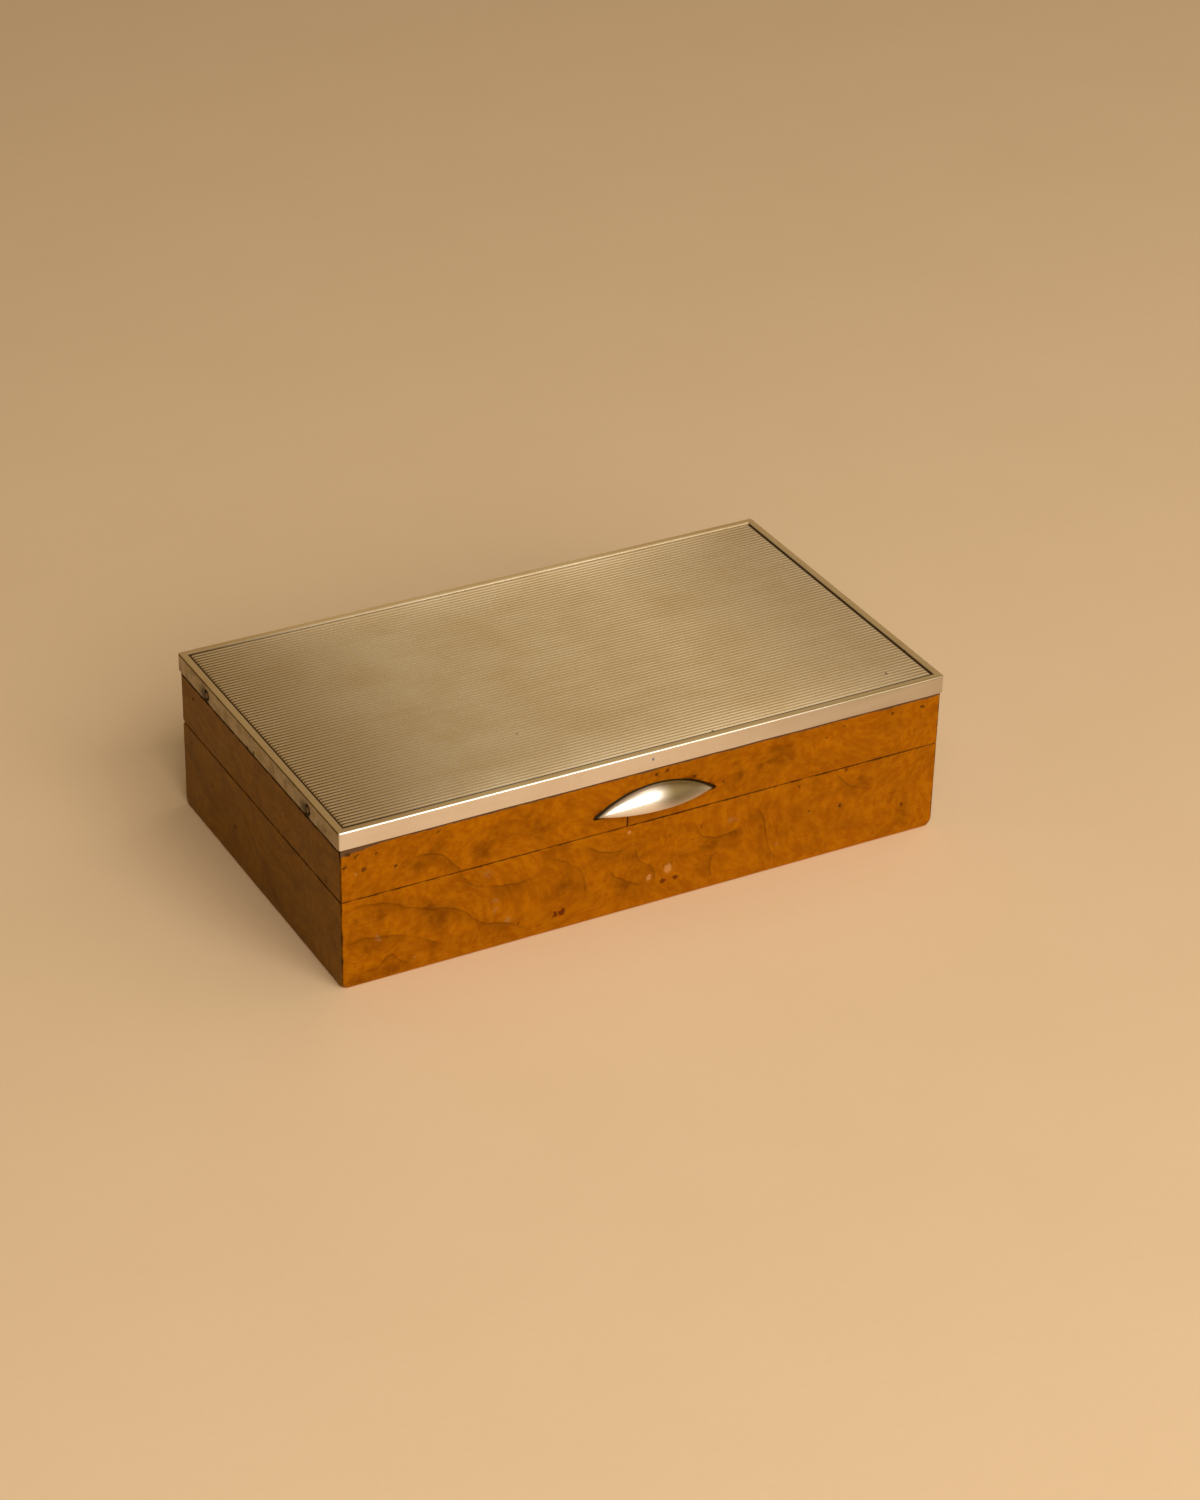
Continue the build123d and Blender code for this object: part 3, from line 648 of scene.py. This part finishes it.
wood_along_x = figured_wood("figured_wood_long", (0.09, 1.3, 1.3), wood_tones, front_dust_and_shade,
                            under_rim_reach=0.9, parting_reach=0.4, lines=front_lines)
wood_along_y = figured_wood("figured_wood_short", (1.3, 0.09, 1.3), shaded_end_tones, end_dust_and_shade,
                            under_rim_reach=1.6, parting_reach=0.6)
silver = aged_silver("aged_silver")
cedar_along_x = cedar("cedar_long", (0.05, 1.0, 1.0))
cedar_along_y = cedar("cedar_short", (1.0, 0.05, 1.0))
brass = old_brass("old_brass")


# Floor and light
floor_half = 5.0
lamp_tint = (1.0, 0.97, 0.93)
fill_tone = colour(206, 179, 72)
fill_strength = 0.18
backdrop_tone = colour(203, 178, 134)
around_square = ((-1, -1), (1, -1), (1, 1), (-1, 1))
floor_mesh = bpy.data.meshes.new("floor")
floor_mesh.from_pydata([(x, y, 0) for x, y in around_square], [], [(0, 1, 2, 3)])
floor_mesh.transform(Matrix.Scale(floor_half, 4))
floor = bpy.data.objects.new("floor", floor_mesh)
bpy.context.scene.collection.objects.link(floor)
floor_mesh.materials.append(table_top("table_top"))


def soft_lamp(name, place, width, depth, power):
    """A soft, nearly white lamp that looks at the box."""
    lamp = bpy.data.lights.new(name, "AREA")
    lamp.shape = "RECTANGLE"
    lamp.size = width
    lamp.size_y = depth
    lamp.energy = power
    lamp.color = lamp_tint
    holder = bpy.data.objects.new(name, lamp)
    holder.location = place
    holder.rotation_euler = (-Vector(place)).to_track_quat("-Z", "Y").to_euler()
    bpy.context.scene.collection.objects.link(holder)


def studio_world():
    """Dim fill light, with a plain pale backdrop for what the camera and the metal see."""
    world = bpy.data.worlds.new("studio")
    world.use_nodes = True
    nodes, links = world.node_tree.nodes, world.node_tree.links
    fill = nodes["Background"]
    fill.inputs["Color"].default_value = fill_tone
    fill.inputs["Strength"].default_value = fill_strength
    backdrop = nodes.new("ShaderNodeBackground")
    backdrop.inputs["Color"].default_value = backdrop_tone
    path = nodes.new("ShaderNodeLightPath")
    seen = path.outputs["Is Camera Ray"]
    for ray in ("Is Glossy Ray", "Is Transmission Ray"):
        either = nodes.new("ShaderNodeMath")
        either.operation = "MAXIMUM"
        links.new(seen, either.inputs[0])
        links.new(path.outputs[ray], either.inputs[1])
        seen = either.outputs[0]
    choice = nodes.new("ShaderNodeMixShader")
    links.new(seen, choice.inputs["Fac"])
    links.new(fill.outputs[0], choice.inputs[1])
    links.new(backdrop.outputs[0], choice.inputs[2])
    links.new(choice.outputs[0], nodes["World Output"].inputs["Surface"])
    return world


soft_lamp("front_lamp", place=(-0.08, -1.45, 1.1), width=1.7, depth=1.5, power=38)
soft_lamp("right_lamp", place=(1.5, -0.5, 1.5), width=3.6, depth=3.6, power=26)
bpy.context.scene.world = studio_world()


def add_piece(name, mesh, material, body, slot, *nodes):
    """Show a mesh as a piece that rides on a body and stands for CAD nodes."""
    mesh.materials.clear()
    mesh.materials.append(material)
    mesh.polygons.foreach_set("use_smooth", [True] * len(mesh.polygons))
    mesh.set_sharp_from_angle(angle=smooth_angle)
    piece = bpy.data.objects.new(name, mesh)
    bpy.context.scene.collection.objects.link(piece)
    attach(piece, body)
    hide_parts(*nodes)


def mesh_of(name, points, faces):
    """A mesh from its points and faces, with its faces turned outwards."""
    mesh = bpy.data.meshes.new(name)
    mesh.from_pydata([tuple(point) for point in points], [], [tuple(face) for face in faces])
    shell = bmesh.new()
    shell.from_mesh(mesh)
    bmesh.ops.recalc_face_normals(shell, faces=shell.faces)
    shell.to_mesh(mesh)
    shell.free()
    return mesh


def wave(place, size, seed=0.0):
    """Smooth noise from -1 to 1 at a place."""
    return noise.noise(Vector(place) / size + Vector((seed, 2 * seed, 0)))


def rounded(across, limit_across, along, limit_along, radius):
    """Draw a place beyond a rounded corner onto it."""
    over_across = across - (limit_across - radius)
    over_along = along - (limit_along - radius)
    over = hypot(over_across, over_along)
    if over_across <= 0 or over_along <= 0 or over <= radius:
        return across, along
    share = radius / over
    return limit_across - radius + over_across * share, limit_along - radius + over_along * share


def signed(value, like):
    """A value with the sign of another."""
    return value if like >= 0 else -value


def worn_place(place, in_base):
    """Where a point of the wood has worn to: eased corners and parting edges, and a faint ripple."""
    x, y, z = place
    below = min(max(foot_round - z, 0), foot_round)
    inset = foot_round - sqrt(foot_round ** 2 - below ** 2)
    limit_x = wood_half_length - inset
    limit_y = wood_half_width - inset
    uneven = mean_wear + wear_swing * wave(place, wear_wave)
    radius = arris_radius * uneven
    depth = min(limit_x - abs(x), limit_y - abs(y))
    height = z if in_base else 2 * parting - z
    worn_depth, worn_height = rounded(-depth, 0, height, parting, parting_radius * uneven)
    sink = -worn_depth - depth
    if depth < ripple_skin:
        sink += ripple * (1 + wave(place, ripple_wave, ripple_seed)) / 2
    if limit_x - abs(x) < limit_y - abs(y):
        x = signed(abs(x) - sink, x)
    else:
        y = signed(abs(y) - sink, y)
    z = worn_height if in_base else 2 * parting - worn_height
    worn_x, worn_y = rounded(abs(x), limit_x, abs(y), limit_y, radius)
    return signed(worn_x, x), signed(worn_y, y), z


def spread(low, high, step):
    """Even places between two ends, about a step apart."""
    count = max(int((high - low) / step), 1)
    return [low + (high - low) * place / count for place in range(1, count)]


def worn_board(node):
    """A finely cut copy of a board, with its edges worn."""
    low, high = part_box(node)
    in_base = node.startswith("base")
    board = bmesh.new()
    board.from_mesh(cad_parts[node].data)
    bmesh.ops.remove_doubles(board, verts=board.verts, dist=tiny)
    bmesh.ops.dissolve_limit(board, angle_limit=flat_angle, verts=board.verts, edges=board.edges)
    near_edge = [share * arris_radius for share in (0.25, 0.6, 1.1, 1.7)]
    limits = ((-wood_half_length, wood_half_length), (-wood_half_width, wood_half_width), (parting, parting))
    for axis, (outer_low, outer_high) in enumerate(limits):
        places = spread(low[axis], high[axis], grid_step)
        places += [outer_low + step for step in near_edge]
        places += [outer_high - step for step in near_edge]
        across = Vector([float(axis == way) for way in range(3)])
        for place in places:
            whole = board.verts[:] + board.edges[:] + board.faces[:]
            bmesh.ops.bisect_plane(board, geom=whole, dist=tiny, plane_co=across * place, plane_no=across)
    for point in board.verts:
        point.co = worn_place(point.co, in_base)
    mesh = bpy.data.meshes.new(node + "_worn")
    board.to_mesh(mesh)
    board.free()
    return mesh


board_woods = {"front": wood_along_x, "back": wood_along_x, "left": wood_along_y, "right": wood_along_y}
for body in ("base", "lid"):
    for side, wood in board_woods.items():
        node = f"{body}_{side}_wall"
        add_piece(node + "_worn", worn_board(node), wood, body, "figured_wood", node)


def silver_cover():
    """The cover as one closed sheet: reeded field, groove, border, turned-down rim and flat underside."""
    outer = border_width + groove_width
    half_x = cover_high.x - outer
    half_y = cover_high.y - outer
    top = cover_high.z
    rim_foot = cover_low.z
    reed_count = round(2 * half_y / reed_pitch)
    half_reed = half_y / reed_count

    # Field of reeds with rounded ends
    end_steps = half_reed * np.linspace(0, 1, end_columns + 1)[:-1]
    middle = np.linspace(half_reed - half_x, half_x - half_reed, middle_columns)
    columns = np.concatenate([end_steps - half_x, middle, (half_x - end_steps)[::-1]])
    rows = np.linspace(-half_y, half_y, reed_count * steps_per_reed + 1)
    field_x, field_y = np.meshgrid(columns, rows)
    across = np.abs((field_y + half_y) % (2 * half_reed) - half_reed)
    beyond = np.maximum(np.abs(field_x) - (half_x - half_reed), 0)
    from_crest = np.hypot(across, beyond) / half_reed
    inner = (1 - (field_x / half_x) ** 4) * (1 - (field_y / half_y) ** 6)
    drop = np.minimum(reed_depth * from_crest ** 2, groove_depth)
    field_z = top - np.maximum(drop, reed_wear * inner)
    from_left = np.exp(-(half_x + field_x) / left_fade)
    from_right = right_dirt * np.exp(-(half_x - field_x) / right_fade)
    share_of_dirt = middle_dirt + (1 - middle_dirt) * np.maximum(from_left, from_right)
    soiled = np.clip((across / half_reed - dirt_start) / dirt_width, 0, 1) * share_of_dirt
    points = list(zip(field_x.flat, field_y.flat, field_z.flat))
    grime = list(soiled.flat)
    index = np.arange(field_x.size).reshape(field_x.shape)
    faces = [(index[r, c], index[r, c + 1], index[r + 1, c + 1], index[r + 1, c])
             for r in range(rows.size - 1) for c in range(columns.size - 1)]

    # Profile from the field outwards, over the edge and down the rim: spread, height and grime
    profile = [(0.12 * groove_width, top - groove_depth, 1.0), (0.8 * groove_width, top - groove_depth, 1.0),
               (groove_width, top - 0.3 * groove_depth, 0.9), (1.3 * groove_width, top, 0.1)]
    for angle in np.linspace(0, pi / 2, edge_steps):
        profile.append((outer - edge_radius * (1 - sin(angle)), top - edge_radius * (1 - cos(angle)), 0.0))
    for height in np.linspace(top - edge_radius, rim_foot + rim_arris, rim_steps + 1)[1:]:
        profile.append((outer, height, 0.0))
    profile += [(outer - rim_arris, rim_foot, 0.7), (outer - 0.8 * sheet, rim_foot, 1.0),
                (outer - sheet, rim_foot + rim_arris, 1.0), (outer - sheet, wood_top, 1.0)]

    loop = np.concatenate([index[0, :-1], index[:-1, -1], index[-1, :0:-1], index[:0:-1, 0]])
    loop_x, loop_y = field_x.flat[loop], field_y.flat[loop]
    last = list(loop)
    for spread_out, height, dirt in profile:
        limit_x, limit_y = half_x + spread_out, half_y + spread_out
        ring = []
        for at_x, at_y in zip(loop_x / half_x * limit_x, loop_y / half_y * limit_y):
            worn = worn_corner_radius if at_x > 0 > at_y else corner_radius
            radius = max(worn - outer + spread_out, tiny)
            x, y = rounded(abs(at_x), limit_x, abs(at_y), limit_y, radius)
            x, y = signed(x, at_x), signed(y, at_y)
            on_end = abs(x) > half_x + outer - sheet
            beside_pin = abs(y) - pin_y if on_end else half_x  # far from any pin
            from_pin = hypot(beside_pin, height - pin_z)
            press = np.exp(-(from_pin / pin_dent_radius) ** 2)
            near_foot = max(1 - (height - rim_foot) / rim_bend_height, 0)
            bent_up = rim_lift * (1 + wave((x, y, 0), rim_wave, rim_wave_seed)) / 2
            bent_up += pin_lift * np.exp(-(beside_pin / pin_dent_radius) ** 2)
            ring.append(len(points))
            points.append((x - signed(pin_dent * press, x), y, height + bent_up * near_foot))
            on_edge = top - 0.75 * edge_radius < height < top - 0.15 * edge_radius
            left_edge = on_edge and x < 10 * tiny - limit_x
            fading = back_dirt + (1 - back_dirt) * np.exp(-(limit_x + x) / left_fade)
            kept = fading if y > half_y else 1.0
            grime.append(max(dirt * kept, 0.8 * left_edge))
        faces += [(last[i - 1], ring[i - 1], ring[i], last[i]) for i in range(len(ring))]
        last = ring

    # Underside: each side's points fan to the two nearest corners of a smaller rectangle
    hub = len(points)
    for x, y in around_square:
        points.append((x * half_x / 2, y * half_y / 2, wood_top))
        grime.append(1.0)
    faces.append((hub, hub + 1, hub + 2, hub + 3))
    side_starts = np.cumsum([0, columns.size - 1, rows.size - 1, columns.size - 1, rows.size - 1])
    for side in range(4):
        start, end = side_starts[side], side_starts[side + 1]
        turn = (start + end) // 2
        near, far = hub + side, hub + (side + 1) % 4
        for i in range(start, end):
            faces.append((last[i], last[(i + 1) % len(last)], near if i < turn else far))
        faces.append((last[turn], far, near))
    mesh = mesh_of("silver_cover_reeded", points, faces)
    mesh.attributes.new("grime", "FLOAT", "POINT").data.foreach_set("value", grime)
    return mesh


add_piece("silver_cover_reeded", silver_cover(), silver, "lid", "silver", "silver_cover")


def thumb_piece():
    """The lift: a smooth quarter of a pointed spindle with a rolled lip, standing in its recess."""
    half = (thumb_high.x - thumb_low.x) / 2 - thumb_gap
    middle = (thumb_high.x + thumb_low.x) / 2
    foot = thumb_low.z
    rise = thumb_high.z - foot + thumb_growth
    front = -wood_half_width
    reach = front - thumb_low.y
    arc = (half ** 2 + rise ** 2) / (2 * rise)
    down_the_front = np.linspace(0, pi / 2, 15)
    round_the_lip = np.linspace(pi / 2, pi, 5)[1:]
    points, faces = [], []
    loops = []
    for angle in np.linspace(-pi / 2, pi / 2, thumb_sections + 2)[1:-1]:
        along = half * sin(angle)
        tall = sqrt(arc ** 2 - along ** 2) - (arc - rise)
        out = reach * tall / rise
        curl = min(thumb_lip, 0.3 * tall)
        section = [(thumb_high.y, foot + tall)]
        section += [(front - out * sin(t), foot + curl + (tall - curl) * cos(t)) for t in down_the_front]
        section += [(front - out + curl * (1 - sin(t)), foot + curl + curl * cos(t)) for t in round_the_lip]
        section += [(thumb_high.y, foot)]
        loops.append(range(len(points), len(points) + len(section)))
        points += [(middle + along, y, z) for y, z in section]
    for near, far in zip(loops, loops[1:]):
        faces += [(near[i - 1], near[i], far[i], far[i - 1]) for i in range(len(near))]
    for loop, end in ((loops[0], -half), (loops[-1], half)):
        tip = len(points)
        points.append((middle + end, front, foot))
        faces += [(loop[i - 1], loop[i], tip) for i in range(len(loop))]
    return mesh_of("thumb_piece_polished", points, faces)


add_piece("thumb_piece_polished", thumb_piece(), silver, "lid", "silver", "thumb_piece")


def rim_pins():
    """Four small pins with hammered heads, sunk in the rim's dents."""
    points, faces = [], []
    profile = [(pin_shank_radius, -pin_length), (pin_shank_radius, -pin_shoulder), (pin_head_radius, 0.0),
               (0.8 * pin_head_radius, 0.6 * pin_dome), (0.4 * pin_head_radius, 0.9 * pin_dome)]
    for way in (-1, 1):
        for y in (-pin_y, pin_y):
            face = way * (cover_high.x - pin_dent)
            start = len(points)
            for radius, out in profile:
                for step in range(pin_sides):
                    turn = 2 * pi * step / pin_sides
                    points.append((face + way * out, y + radius * cos(turn), pin_z + radius * sin(turn)))
            for ring in range(len(profile) - 1):
                for step in range(pin_sides):
                    after = (step + 1) % pin_sides
                    low, high = start + ring * pin_sides, start + (ring + 1) * pin_sides
                    faces.append((low + step, low + after, high + after, high + step))
            faces.append([start + step for step in range(pin_sides)])
            faces.append([start + (len(profile) - 1) * pin_sides + step for step in range(pin_sides)])
    return mesh_of("rim_pins_hammered", points, faces)


add_piece("rim_pins_hammered", rim_pins(), silver, "lid", "silver_pin", "cover_pins")

# Finishes of the CAD pieces that stay as they are
finishes = {
    "base_bottom_board": wood_along_x,
    "lid_top_board": wood_along_x,
    "base_lining_floor": cedar_along_x,
    "base_lining_front": cedar_along_x,
    "base_lining_back": cedar_along_x,
    "base_lining_left": cedar_along_y,
    "base_lining_right": cedar_along_y,
    "lid_lining_panel": cedar_along_x,
    "thumb_pins": silver,
}
for node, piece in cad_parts.items():
    if node.startswith("hinge"):
        finishes[node] = brass
    if node in finishes:
        piece.material_slots[0].material = finishes[node]
